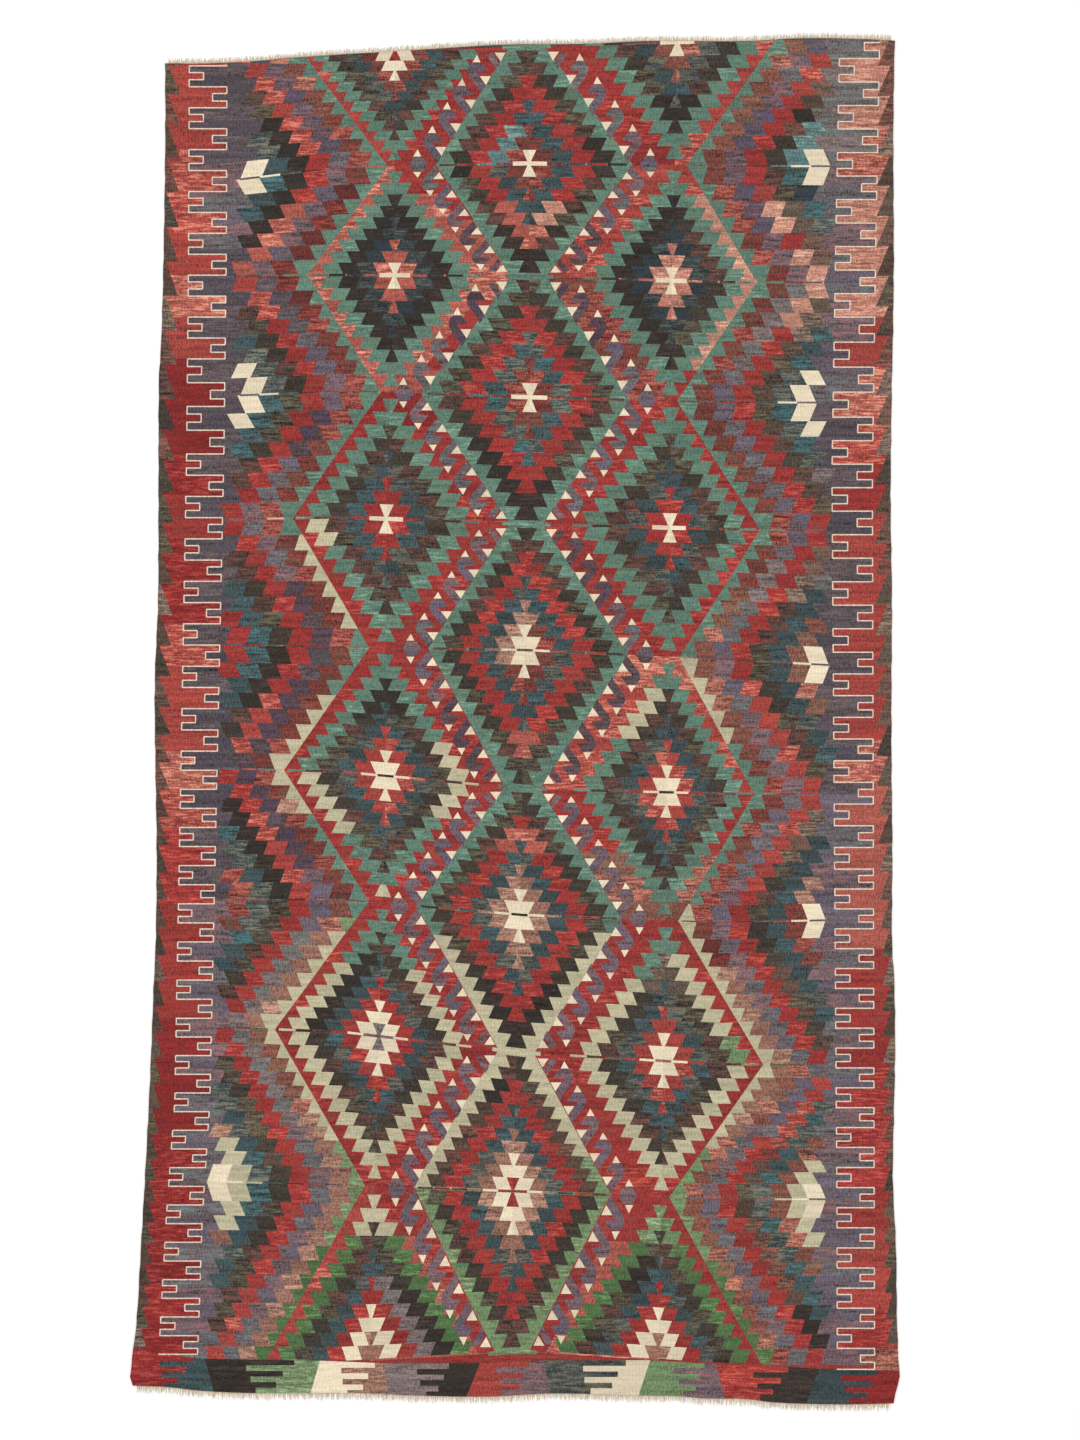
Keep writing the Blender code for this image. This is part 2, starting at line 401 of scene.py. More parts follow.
# A hook, as it lies in the upper right of a middle medallion: (away from the medallion, towards its centre)
# from a point on the medallion's side.
HOOK = (
    (0.0196, 0.0000), (0.0323, -0.0156), (0.0541, -0.0156), (0.0618, -0.0042), (0.0603, 0.0084),
    (0.0464, 0.0253), (0.0350, 0.0394), (0.0330, 0.0462), (0.0253, 0.0337), (0.0231, 0.0288),
    (0.0359, 0.0110), (0.0442, 0.0022),
)
TAIL = (
    (0.0407, 0.0121), (0.0539, 0.0143), (0.0464, 0.0253), (0.0350, 0.0394), (0.0330, 0.0462),
    (0.0253, 0.0337), (0.0359, 0.0165),
)
KNOT = ((0.0196, 0.0), (0.0290, -0.0140), (0.0400, -0.0170), (0.0520, -0.0140), (0.0600, 0.0))
POINT_BY_SIDE = ((0.0119, 0.0106), (0.0359, 0.0106), (0.0222, 0.0282))
POINT_ON_TOP = ((0.0420, -0.0317), (0.0343, -0.0172), (0.0519, -0.0172))
HOOK_PITCH = 0.0462  # from one hook to the next, as they are measured above
BETWEEN = (0.001, 0.0400)  # where the fill between two hooks starts and ends, from the medallion's side


def hooks(weaver, spec):
    """The chain of hooks along each side of a middle medallion, mirrored at its axis and at its neck."""
    centre = spec["row"]
    for (direction, half), count in zip(HALVES, spec["hooks"]):
        neck = centre + direction
        for (side, hand), line in zip(SIDES, (MIDDLE_LEFT, MIDDLE_RIGHT)):
            stops = [neck - direction * k / count for k in range(count + 1)]
            spine = [(guide(line, row), course(row, guide(line, row))) for row in stops]
            for k, ((x0, y0), (x1, y1)) in enumerate(zip(spine, spine[1:])):
                dye = picked(spec, "between", half + hand, k, None)
                if dye:
                    near, far = (side * away for away in BETWEEN)
                    weaver.patch([(x0 + near, y0), (x0 + far, y0), (x1 + far, y1), (x1 + near, y1)], dye)
            for k, (x, y) in enumerate(spine):
                scale = abs(course(centre, x) - course(neck, x)) / count / HOOK_PITCH
                dye = picked(spec, "hook", half + hand, k, "slate")
                shapes = [(HOOK, dye), (POINT_BY_SIDE, "white"), (POINT_ON_TOP, "white")]
                if k == 0:
                    shapes = [(TAIL, dye), (POINT_BY_SIDE, "white")]
                elif k == count:
                    shapes = [(KNOT, dye), (POINT_ON_TOP, "white")]
                for shape, shape_dye in shapes:
                    points = [(x + side * away, y + direction * down * scale) for away, down in shape]
                    weaver.patch(points, shape_dye)


NECK_BAR = (0.053, 0.0042)  # half the length and depth of the bar over the necks of the middle medallions
NECK_DYES = {8: "cream", 10: "leaf"}  # by course; the others are green


def neck_bars(weaver):
    reach, depth = NECK_BAR
    for row in range(0, LAST + 1, 2):
        axis = guide(MIDDLE_AXIS, row)
        weaver.bar(row, axis - reach, axis + reach, depth, NECK_DYES.get(row, "green"))


# The fields between a line and its finger border: chevrons, and a row of triangles along the line.
FIELD_DYES = ("maroon", "slate", "red", "brown", "teal")
FIELD_LEAN = 0.55  # how far a chevron's side leans over one row, in steps
FIGURE_LEAN = 0.75
FIELD_MARGINS = (0.025, 0.010)  # shares of a half: from the axis to the first row, from the last to the end
GAP = 0.35  # between the line and the first chevron on the far course of a row, in steps
END_GAP = 0.90  # the same in the last row
# The tongues' depths, as shares of TONGUE_DEPTH: a plain chevron's, the figure's and those at a field's ends
FIELD_TONGUE, FIGURE_TONGUE, END_TONGUE = 0.55, 0.85, 0.8
TONGUE_SHIFT = 0.010  # how far beyond its chevron's side a tongue on the axis starts
TONGUE_MORE = 0.006  # how much longer than its reach it is
# How far across the chevrons reach, along the rug
LEFT_REACH = (
    (1.50, -0.626), (0.60, -0.634), (0.20, -0.646), (-0.40, -0.648), (-0.67, -0.660), (-1.00, -0.676),
    (-1.50, -0.676),
)
RIGHT_REACH = ((1.50, 0.700), (-1.50, 0.700))
LEFT_UNDER, RIGHT_UNDER = -0.78, 0.82  # how far across the fields go on under the borders


def field_rings(spec, half, row):
    """The dyes of the chevrons in one row: the plain ones and those of the figure at the centre."""
    inner = [dye for dye, rows in spec["figure"] if row < rows]
    return [picked(spec, ring, half, row, dye) for ring, dye in enumerate([*FIELD_DYES, *inner])]


def field(weaver, spec, line, side, under, reaches, pitch):
    """One field: its chevrons, as far as they reach, and the ground beyond. Pitch is a column of PITCHES."""
    centre = spec["row"]
    for (direction, half), count in zip(HALVES, spec["rows"]):
        bounds = rows_of(centre, direction, count, *FIELD_MARGINS)
        step = abs(guide(line, centre) - guide(line, centre + direction)) / count
        for row in range(count):
            near, far = bounds[row], bounds[row + 1]
            near_all = centre if row == 0 else near
            far_all = centre + direction if row == count - 1 else far
            dye = picked(spec, "triangles", half, row, spec["triangles"])
            ends = [(guide(line, at), under) for at in (far_all, near_all)]
            weaver.row(far_all, near_all, *ends, dye)
            edge = guide(line, far) + side * step * (END_GAP if row == count - 1 else GAP)
            shift = side * read(PITCHES, pitch, near)
            reach = station(reaches, course(near, under))
            for ring, dye in enumerate([*field_rings(spec, half, row), "none"]):
                ended = dye == "none" or side * (edge + shift) > side * reach
                if ended:
                    dye = picked(spec, "beyond", half, row, "dusk")
                lean = FIELD_LEAN if ring < len(FIELD_DYES) else FIGURE_LEAN
                start = edge + side * weaver.off()
                weaver.row(far_all, near_all, (start, under), (start + side * lean * step, under), dye)
                edge += shift
                if ended:
                    break
    tongues(weaver, spec, line, side, station(reaches, course(centre, under)), pitch)


def tongues(weaver, spec, line, side, limit, pitch):
    """On a field's own axis each chevron has a tongue towards the line, and at its ends one away from it."""
    centre = spec["row"]
    step = abs(guide(line, centre) - guide(line, centre - 1)) / spec["rows"][0]
    reach = TONGUE * step

    def row_of_tongues(row, start, length, dyes, depths):
        for dye, depth in zip(dyes, depths):
            if side * start < side * limit:
                weaver.bar(row, start, start + side * length, TONGUE_DEPTH * depth, dye)
            start += side * read(PITCHES, pitch, row)

    start = guide(line, centre) + side * (step * (1 + GAP + FIELD_LEAN) + TONGUE_SHIFT)
    depths = [FIELD_TONGUE] * len(FIELD_DYES) + [FIGURE_TONGUE] * 4
    row_of_tongues(centre, start, -(reach + TONGUE_MORE), [*field_rings(spec, "u", 0), "slate"], depths)
    for end in (centre - 1, centre + 1):
        if 0 < end < LAST:
            start = guide(line, end) + side * END_GAP * step
            row_of_tongues(end, start, reach, (spec["triangles"], *FIELD_DYES[:2]), [END_TONGUE] * 3)


LEFT_FIELDS = (
    plan(1, (9, 7), triangles="green", figure=(("white", 1),), runs=(
        "0 u 4-9 rust, 0 d 1-6 wine, 1 u 1-9 violet, 2 u 1-9 tomato, 2 d 2-6 coral, 3 u 0-3 black, "
        "3 u 4-5 olive, 3 u 6-9 none, 4 u 3-9 none, 3 d 0-4 black, 3 d 5-6 none, 4 d 1-2 petrol, "
        "4 d 3-6 none, beyond * 0 slate, beyond d 0-4 slate"
    )),
    plan(3, (8, 8), triangles="green", figure=(("white", 2),), runs=(
        "0 u 5-7 wine, 1 u 4-7 dusk, 1 d 1-3 indigo, 1 * 0 blue, 2 u 5-7 tomato, 3 u 6-7 none, "
        "3 d 6-7 none, 4 * 4-7 none"
    )),
    plan(5, (8, 8), triangles="cream", figure=(("red", 2),), runs=(
        "triangles u 0 green, triangles u 7 green, triangles d 0-2 green, 1 u 0-3 indigo, 1 d 0 dusk, "
        "1 d 1-7 indigo, 2 d 3-7 tomato, 3 d 0-3 black, 3 * 6-7 none, 4 * 4-7 none"
    )),
    plan(7, (9, 9), triangles="green", figure=(("maroon", 3),), runs=(
        "triangles u 6-8 cream, triangles d 1 leaf, triangles d 2-8 cream, 0 u 6 pink, 0 d 0-1 rust, "
        "0 d 2-8 pink, 1 u 2-8 indigo, 1 d 2-8 stone, 2 u 0-5 tomato, 3 u 0-9 black, beyond d 0-8 slate"
    )),
    plan(9, (11, 12), triangles="grass", figure=(("pink", 5), ("white", 1)), runs=(
        "5 * 0-2 cream, triangles u 3-10 cream, triangles u 0-2 leaf, triangles d 0-3 leaf, "
        "0 * 0-11 pink, 0 u 5-10 rust, 1 u 4-10 stone, 2 d 7-11 tomato, 3 u 0-5 olive, "
        "beyond * 0-11 slate"
    )),
)
RIGHT_FIELDS = (
    plan(1, (9, 7), triangles="green", figure=(("white", 1),), runs=(
        "0 u 1-8 rust, 1 * 0-4 violet, 2 u 5-8 tomato, 2 d 1 tomato, 2 d 2-6 salmon, 2 d 4 red, "
        "3 u 2-4 umber, 3 u 3 black, 3 u 5-8 taupe, 3 d 2-6 taupe, 4 u 0-2 sky, 4 u 3-8 stone, "
        "4 d 1 navy, beyond u 0-8 stone, beyond d 0-6 slate"
    )),
    plan(3, (8, 8), triangles="green", figure=(("white", 2),), runs=(
        "2 u 5-7 salmon, 1 u 2-7 stone, 3 * 0-7 olive, 3 u 4-7 taupe, 4 d 4-7 stone, 4 u 5-7 stone, "
        "beyond u 0-7 slate"
    )),
    plan(5, (9, 8), triangles="green", figure=(("rust", 3), ("white", 1)), runs=(
        "triangles d 0-4 cream, 0 * 0-4 rust, 1 u 3-6 stone, 2 d 1-7 tomato, 4 * 0-8 petrol, "
        "4 u 5-8 stone, 3 u 4-8 taupe"
    )),
    plan(7, (9, 10), triangles="green", figure=(("pink", 3), ("white", 1)), runs=(
        "triangles u 0 cream, triangles d 0-9 cream, 0 d 1-2 wine, 0 d 3-9 pink, 5 * 0 maroon, "
        "5 d 0-2 maroon, 2 u 2-8 tomato, 3 d 2-9 olive, 3 u 4-8 taupe, 4 * 0-9 petrol, beyond * 0-9 slate"
    )),
    plan(9, (11, 11), triangles="grass", figure=(("rust", 5), ("cream", 3), ("white", 1)), runs=(
        "triangles u 4-10 cream, triangles u 0-3 leaf, triangles d 0-3 leaf, 0 * 0-9 rust, 0 u 5-10 pink, "
        "1 u 6-10 rust, 2 u 5-10 slate, 3 u 0-2 olive, 3 u 3-4 maroon, 3 u 5-10 tomato, 3 d 0-6 umber, "
        "3 d 7-10 black, beyond * 0-10 slate"
    )),
)

# The finger borders. First where their fingers end, outwards and inwards, along the rug; then where the
# numbered slate fingers start.
LEFT_ENDS = (
    (1.50, -0.717, -0.634), (1.02, -0.719, -0.636), (0.60, -0.723, -0.641), (-0.83, -0.749, -0.672),
    (-1.09, -0.768, -0.689), (-1.25, -0.777, -0.694), (-1.50, -0.790, -0.703),
)
RIGHT_ENDS = (
    (1.50, 0.801, 0.713), (1.09, 0.793, 0.705), (0.55, 0.785, 0.696), (-1.05, 0.789, 0.707),
    (-1.50, 0.790, 0.708),
)
LEFT_FINGERS = ((0, 1.4465), (7, 0.802), (9, 0.593), (16, -0.0605), (23, -0.648), (32, -1.387), (33, -1.470))
RIGHT_FINGERS = (
    (0, 1.411), (5, 0.894), (7, 0.674), (12, 0.157), (17, -0.320), (24, -0.932), (29, -1.374), (30, -1.466),
)
# One slate finger and the red one below it: (share of the pitch, share of the way in). Each has a slot.
FINGER_SHAPE = (
    (0.0, 1), (0.0, 0), (0.16, 0), (0.16, 0.38), (0.33, 0.38), (0.33, 0), (0.50, 0), (0.50, 1),
    (0.66, 1), (0.66, 0.62), (0.84, 0.62), (0.84, 1),
)
# Runs of dye in the borders: from which finger on
LEFT_DYES = (
    (0, "tomato"), (5, "coral"), (6, "tomato"), (7, "deep red"), (10, "red"), (11, "deep red"),
    (13, "tomato"), (16, "coral"), (17, "tomato"), (18, "red"), (23, "deep red"),
)
RIGHT_DYES = (
    (0, "rose"), (1, "coral"), (2, "rose"), (5, "tomato"), (6, "coral"), (7, "tomato"), (8, "red"),
    (9, "tomato"), (14, "coral"), (19, "red"), (26, "tomato"), (28, "red"), (29, "rust"),
)
# Where each border's raised thread starts and ends: a finger, and a corner of FINGER_SHAPE
LEFT_THREAD = ((0, 0), (32, 2))
RIGHT_THREAD = ((-1, 2), (29, 8))


def finger_points(number, fingers, ends):
    """The outline of one slate finger and the red one below it."""
    start, stop = station(fingers, number), station(fingers, number + 1)
    points = []
    for share, depth in FINGER_SHAPE:
        y = mix(start, stop, share)
        points.append((mix(station(ends, y, 1), station(ends, y, 2), depth), y))
    return points


def finger_border(weaver, fingers, ends, dyes, outer):
    for number in range(-1, fingers[-1][0]):
        points = finger_points(number, fingers, ends)
        foot = station(fingers, number + 1)
        dye = [dye for first, dye in dyes if first <= max(number, 0)][-1]
        last = (station(ends, foot, 2), foot)
        weaver.patch([(outer, points[0][1]), *points, last, (outer, foot)], dye)


def thread_path(fingers, ends, thread):
    """The path of a border's raised thread, round its fingers."""
    points = [point for number in range(-1, fingers[-1][0]) for point in finger_points(number, fingers, ends)]
    first, last = ((finger + 1) * len(FINGER_SHAPE) + corner for finger, corner in thread)
    return points[first:last]


# The sawtooth selvedges: where the numbered teeth start along the rug, the rug's edge there, and how deep a
# tooth is where it starts and where it ends.
LEFT_TEETH = ((0, 1.449), (2, 1.319), (10, 0.714), (20, 0.036), (29, -0.509), (37, -0.958), (46, -1.374))
RIGHT_TEETH = ((0, 1.4465), (8, 0.9185), (16, 0.395), (24, -0.1375), (31, -0.575), (37, -0.916), (45, -1.365))
LEFT_EDGE = (
    (1.50, -0.771), (0.84, -0.779), (0.50, -0.785), (0.10, -0.792), (-0.56, -0.795), (-1.00, -0.815),
    (-1.31, -0.833), (-1.44, -0.847),
)
RIGHT_EDGE = ((1.50, 0.833), (0.49, 0.825), (-0.08, 0.827), (-0.72, 0.834), (-1.16, 0.837), (-1.44, 0.845))
TOOTH_DEPTHS = ((1.5, 0.008, 0.036), (0.0, 0.008, 0.034), (-0.5, 0.007, 0.026), (-1.5, 0.012, 0.028))
LEFT_TEETH_DYES = ("olive", "brown", "umber", "olive", "taupe")
RIGHT_TEETH_DYES = ("taupe", "taupe", "umber", "taupe", "olive")


def selvedge_teeth(weaver, teeth, edge, dyes, side):
    outer = side * OUTSIDE
    for number in range(-1, teeth[-1][0]):
        start, stop = station(teeth, number), station(teeth, number + 1)
        narrow, wide = station(TOOTH_DEPTHS, start, 1), station(TOOTH_DEPTHS, start, 2)
        inner = station(edge, start) - side * narrow, station(edge, stop) - side * wide
        points = [(outer, start), (inner[0], start), (inner[1], stop), (outer, stop)]
        weaver.patch(points, weaver.rng.choice(dyes))


# The striped end at the foot: its upper edge, and its blocks of dye from left to right. Each block but the
# last is followed by the distance across of its border with the next: a plain one's at its top and foot, or
# else a comb's, where bars of both dyes reach past each other: the ends of the block's own bars, first and
# last, and of the next one's.
STRIP_TOP = (
    (-0.860, -1.378), (-0.785, -1.384), (-0.700, -1.396), (-0.430, -1.401), (-0.280, -1.407),
    (-0.080, -1.407), (0.060, -1.400), (0.300, -1.400), (0.440, -1.409), (0.670, -1.419), (0.860, -1.425),
)
STRIP = (
    ("deep red", -0.705, -0.753, -0.785, -0.773),
    ("teal", -0.683, -0.663),
    ("black", -0.490, -0.538, -0.600, -0.570),
    ("leaf", -0.430, -0.451),
    ("white", -0.309, -0.342, -0.388, -0.371),
    ("pink", -0.289, -0.279),
    ("stone", -0.146, -0.177, -0.221, -0.198),
    ("black", -0.078, -0.108),
    ("tomato", 0.030, 0.005, -0.044, -0.030),
    ("slate", 0.063, 0.074),
    ("petrol", 0.242, 0.203, 0.137, 0.165),
    ("white", 0.296, 0.272),
    ("leaf", 0.414, 0.392, 0.343, 0.368),
    ("slate", 0.441, 0.461),
    ("red", 0.600, 0.555, 0.516, 0.539),
    ("black", 0.668, 0.641),
    ("petrol", 0.794, 0.766, 0.711, 0.737),
    ("deep red",),
)
STRIP_ROWS = 6
STRIP_PITCH = 0.0123
STRIP_UNEVEN = 2  # how much more than elsewhere the weaver's eye is out


def striped_end(weaver):
    """The plain band at the foot, each block laid over the right part of the one before."""
    corners = [(OUTSIDE, PAST_FOOT), (-OUTSIDE, PAST_FOOT)]
    weaver.patch([*STRIP_TOP, *corners], STRIP[0][0])
    for (_, *edges), (following, *_) in zip(STRIP, STRIP[1:]):
        if len(edges) == 2:
            start, stop = edges
            top = station(STRIP_TOP, start)
            path = [(start, top), (stop, top - STRIP_PITCH * STRIP_ROWS), (stop, PAST_FOOT)]
        else:
            own_first, own_last, next_first, next_last = edges
            top = station(STRIP_TOP, (own_first + next_first) / 2)
            path = []
            for row in range(STRIP_ROWS):
                share = row / (STRIP_ROWS - 1)
                x = mix(next_first, next_last, share) if row % 2 else mix(own_first, own_last, share)
                x += weaver.off() * STRIP_UNEVEN
                path += [(x, top - STRIP_PITCH * row), (x, top - STRIP_PITCH * (row + 1))]
            path.append((path[-1][0], PAST_FOOT))
        tops = [point for point in STRIP_TOP if point[0] > path[0][0]]
        weaver.patch([path[0], *tops, corners[0], *path[:0:-1]], following)


def woven():
    """The patches of the whole rug, as (corners, dye) in the pattern's own measure, the lowest first."""
    weaver = Weaver(WEAVER_SEED)
    for foot, head, dye in GROUNDS:
        weaver.patch([(-1, foot), (1, foot), (1, head), (-1, head)], dye)
    for spec in LEFT_FIELDS:
        field(weaver, spec, LEFT_LINE, -1, LEFT_UNDER, LEFT_REACH, 0)
    for spec in RIGHT_FIELDS:
        field(weaver, spec, RIGHT_LINE, 1, RIGHT_UNDER, RIGHT_REACH, 1)
    for specs, axis, lines in (
        (LEFTS, LEFT_AXIS, (LEFT_LINE, MIDDLE_AXIS)),
        (RIGHTS, RIGHT_AXIS, (MIDDLE_AXIS, RIGHT_LINE)),
    ):
        for spec in specs:
            ground(weaver, spec, axis, lines, SIDE_MARGINS, "red")
        ring_lines = [None if line == MIDDLE_AXIS else line for line in lines]
        for spec in specs:
            medallion(weaver, spec, axis, ring_lines, SIDE_MARGINS, SIDE_DYES)
    lines = (MIDDLE_LEFT, MIDDLE_RIGHT)
    for spec in MIDDLES:
        ground(weaver, spec, MIDDLE_AXIS, lines, MIDDLE_MARGINS, spec["ground"], OUTLINE)
        medallion(weaver, spec, MIDDLE_AXIS, lines, MIDDLE_MARGINS, MIDDLE_DYES)
        hooks(weaver, spec)
    neck_bars(weaver)
    finger_border(weaver, LEFT_FINGERS, LEFT_ENDS, LEFT_DYES, -OUTSIDE)
    finger_border(weaver, RIGHT_FINGERS, RIGHT_ENDS, RIGHT_DYES, OUTSIDE)
    selvedge_teeth(weaver, LEFT_TEETH, LEFT_EDGE, LEFT_TEETH_DYES, -1)
    selvedge_teeth(weaver, RIGHT_TEETH, RIGHT_EDGE, RIGHT_TEETH_DYES, 1)
    striped_end(weaver)
    return weaver.patches


# ---- Settings that a user would change


def sRGB_to_linear(value):
    return value / 12.92 if value <= 0.04045 else ((value + 0.055) / 1.055) ** 2.4


def linear(colour, shade=1.0):
    """A screen colour, 0 to 255, as the shaders take it."""
    return [min(sRGB_to_linear(v / 255) * shade, 1) for v in colour] + [1]


def tint(name, description, *colour):
    """A property for a colour, its default given as it looks on a screen, 0 to 255."""
    default = linear(colour)[:3]
    return bpy.props.FloatVectorProperty(
        name=name, description=description, default=default, subtype="COLOR", min=0.0, max=1.0, size=3
    )


def length(name, description, default):
    """A property for a length in metres."""
    return bpy.props.FloatProperty(name=name, description=description, default=default, unit="LENGTH")


def factor(name, description, default, most):
    """A property for a share, from none to the most."""
    return bpy.props.FloatProperty(
        name=name, description=description, default=default, min=0.0, max=most, subtype="FACTOR"
    )


class KilimCloth(bpy.types.PropertyGroup):
    warp_pitch: length("Warp pitch", "Distance across from one warp rib to the next", 0.0031)
    rib_height: length("Rib height", "How far the weft rises over a warp", 0.0006)
    streaks: factor("Streaks", "How much of the wools of other shades shows in a dye", 0.9, 1.5)
    shade_spread: factor("Shade spread", "How much the shade differs from patch to patch", 0.10, 0.5)


class KilimContour(bpy.types.PropertyGroup):
    pitch: length("Stitch pitch", "Distance from one wrapped stitch to the next", 0.0026)
    width: length("Width", "Width of the raised contour thread", 0.0038)
    height: length("Height", "How far the contour thread stands above the cloth", 0.0011)
    wool: tint("Wool", "Undyed wool of the contour threads", 236, 219, 200)


class KilimFringe(bpy.types.PropertyGroup):
    threads: bpy.props.IntProperty(
        name="Threads", description="Warp ends along each end of the rug", default=1500, min=100, max=4000
    )
    head_length: length("Length at head", "How far the longest warp ends reach past the head", 0.0150)
    foot_length: length("Length at foot", "How far the longest warp ends reach past the foot", 0.0190)
    thickness: length("Thickness", "Thickness of one warp end", 0.0011)
    wool: tint("Wool", "Undyed wool of the warp", 214, 196, 168)


class KilimStage(bpy.types.PropertyGroup):
    floor: tint("Floor", "Colour of the plain floor", 247, 247, 247)
    floor_size: length("Floor size", "Side of the square floor", 24.0)
    lens: bpy.props.FloatProperty(
        name="Lens",
        description="Focal length of the camera that looks straight down",
        default=85.0,
        subtype="DISTANCE_CAMERA",
    )


# ---- Node trees


class Value:
    """A socket that can be written in sums."""

    def __init__(self, nodes, socket):
        self.nodes = nodes
        self.socket = socket

    def __add__(self, other):
        return self.nodes.maths("ADD", self, other)

    def __sub__(self, other):
        return self.nodes.maths("SUBTRACT", self, other)

    def __rsub__(self, other):
        return self.nodes.maths("SUBTRACT", other, self)

    def __mul__(self, other):
        return self.nodes.maths("MULTIPLY", self, other)

    __radd__ = __add__
    __rmul__ = __mul__

    def over(self, least):
        return self.nodes.maths("GREATER_THAN", self, least)

    def clamped(self):
        return self.nodes.out(self.nodes.node("ShaderNodeClamp", Value=self))

    def ridges(self, pitch):
        """Ridges across this length, one in each pitch, from 0 in the grooves to 1 on the crests."""
        return self.nodes.maths("SINE", self * (2 * math.pi / pitch)) * 0.5 + 0.5


class Nodes:
    """A node tree under construction. A socket takes a number, a Value, or a node for its first output."""

    def __init__(self, tree):
        self.tree = tree

    def node(self, kind, settings=None, **sockets):
        """Adds a node: its settings first, then its sockets, with _ for a space in their names."""
        node = self.tree.nodes.new(kind)
        for key, value in (settings or {}).items():
            setattr(node, key, value)
        self.feed(node, **sockets)
        return node

    def feed(self, node, **sockets):
        for key, value in sockets.items():
            name = key.replace("_", " ")
            self.join(next(s for s in node.inputs if s.name == name and s.enabled), value)

    def join(self, slot, value):
        if isinstance(value, bpy.types.Node):
            value = self.out(value)
        if isinstance(value, Value):
            self.tree.links.new(value.socket, slot)
        else:
            slot.default_value = value

    def out(self, node, name=None):
        """An output of a node, by its name, or else the first in use."""
        return Value(self, next(s for s in node.outputs if s.enabled and name in (None, s.name)))

    def maths(self, operation, *values, kind="ShaderNodeMath"):
        node = self.node(kind, {"operation": operation})
        for slot, value in zip(node.inputs, values):
            self.join(slot, value)
        return self.out(node)

    def vectors(self, operation, *values):
        return self.maths(operation, *values, kind="ShaderNodeVectorMath")

    def vector(self, x, y, z):
        return self.node("ShaderNodeCombineXYZ", X=x, Y=y, Z=z)

    def part(self, vector, axis):
        return self.out(self.node("ShaderNodeSeparateXYZ", Vector=vector), axis)


class Finish(Nodes):
    """A material. Its patterns lie on the object's own coordinates, in metres."""

    def __init__(self, name):
        self.material = bpy.data.materials.new(name)
        self.material.use_nodes = True
        super().__init__(self.material.node_tree)
        self.place = self.out(self.node("ShaderNodeTexCoord"), "Object")

    def noise(self, scale, detail, roughness=0.5, **offset):
        """Noise about 0.5, its scale given for each axis in waves a metre; W makes it differ by patch."""
        settings = {"noise_dimensions": "4D" if offset else "3D"}
        sockets = {"Scale": 1.0, "Detail": detail, "Roughness": roughness, **offset}
        point = self.vectors("MULTIPLY", self.place, scale)
        return self.out(self.node("ShaderNodeTexNoise", settings, Vector=point, **sockets))

    def blended(self, factor, first, second, blend="MIX"):
        settings = {"data_type": "RGBA", "blend_type": blend, "clamp_result": False}
        return self.node("ShaderNodeMix", settings, Factor=factor, A=first, B=second)

    def shaded(self, colour, factor):
        """A colour made lighter or darker by a factor."""
        grey = self.node("ShaderNodeCombineColor", Red=factor, Green=factor, Blue=factor)
        return self.blended(1.0, colour, grey, "MULTIPLY")

    def held(self, name, output="Fac"):
        """What the mesh holds under a name: a number, or a colour."""
        return self.out(self.node("ShaderNodeAttribute", {"attribute_name": name}), output)

    def bumps(self, height, distance):
        """Bumps as high as the distance where the height is 1."""
        return self.node("ShaderNodeBump", Height=height, Distance=distance, Strength=1.0)

    def done(self, **sockets):
        """Feeds the shader and gives the material."""
        self.feed(self.tree.nodes["Principled BSDF"], Metallic=0.0, **sockets)
        return self.material


class Growth(Nodes):
    """A Geometry Nodes tree, with an input for each of the named settings."""

    def __init__(self, name, settings):
        super().__init__(bpy.data.node_groups.new(name, "GeometryNodeTree"))
        face = self.tree.interface
        face.new_socket("Geometry", in_out="INPUT", socket_type="NodeSocketGeometry")
        for key, value in settings.items():
            kind = "NodeSocketInt" if isinstance(value, int) else "NodeSocketFloat"
            face.new_socket(key, in_out="INPUT", socket_type=kind).default_value = value
        face.new_socket("Geometry", in_out="OUTPUT", socket_type="NodeSocketGeometry")
        self.given = self.tree.nodes.new("NodeGroupInput")
        self.line = self.node("GeometryNodeMeshToCurve", Mesh=self.given)

    def setting(self, name):
        return self.out(self.given, name)

    def random(self, low, high, draw=0):
        """A number for each instance; a draw of another number gives others."""
        seed = self.setting("Seed") + float(draw)
        settings = {"data_type": "FLOAT"}
        return self.out(self.node("FunctionNodeRandomValue", settings, Min=low, Max=high, Seed=seed))

    def instances(self, points, piece, turn, size):
        sockets = {"Points": points, "Instance": piece, "Rotation": turn, "Scale": size}
        return self.node("GeometryNodeInstanceOnPoints", **sockets)

    def end(self, geometry, material):
        """Realizes the instances, sets the material and closes the tree."""
        real = self.node("GeometryNodeRealizeInstances", Geometry=geometry)
        done = self.node("GeometryNodeSetMaterial", Geometry=real, Material=material)
        self.join(self.tree.nodes.new("NodeGroupOutput").inputs[0], done)


def grown(points, growth, settings):
    """The plain mesh that a tree makes along a line through the points."""
    mesh = bpy.data.meshes.new("line")
    mesh.from_pydata(points, [(k, k + 1) for k in range(len(points) - 1)], [])
    line = bpy.data.objects.new("line", mesh)
    bpy.context.scene.collection.objects.link(line)
    modifier = line.modifiers.new("growth", "NODES")
    modifier.node_group = growth.tree
    for item in growth.tree.interface.items_tree:
        if item.in_out == "INPUT" and item.name in settings:
            modifier[item.identifier] = settings[item.name]
    bpy.context.view_layer.update()
    baked = bpy.data.meshes.new_from_object(line.evaluated_get(bpy.context.evaluated_depsgraph_get()))
    line.modifiers.remove(modifier)
    bpy.data.objects.remove(line, do_unlink=True)
    bpy.data.meshes.remove(mesh)
    if "along" in baked.attributes:
        baked.attributes.remove(baked.attributes["along"])
    return baked


# ---- Materials

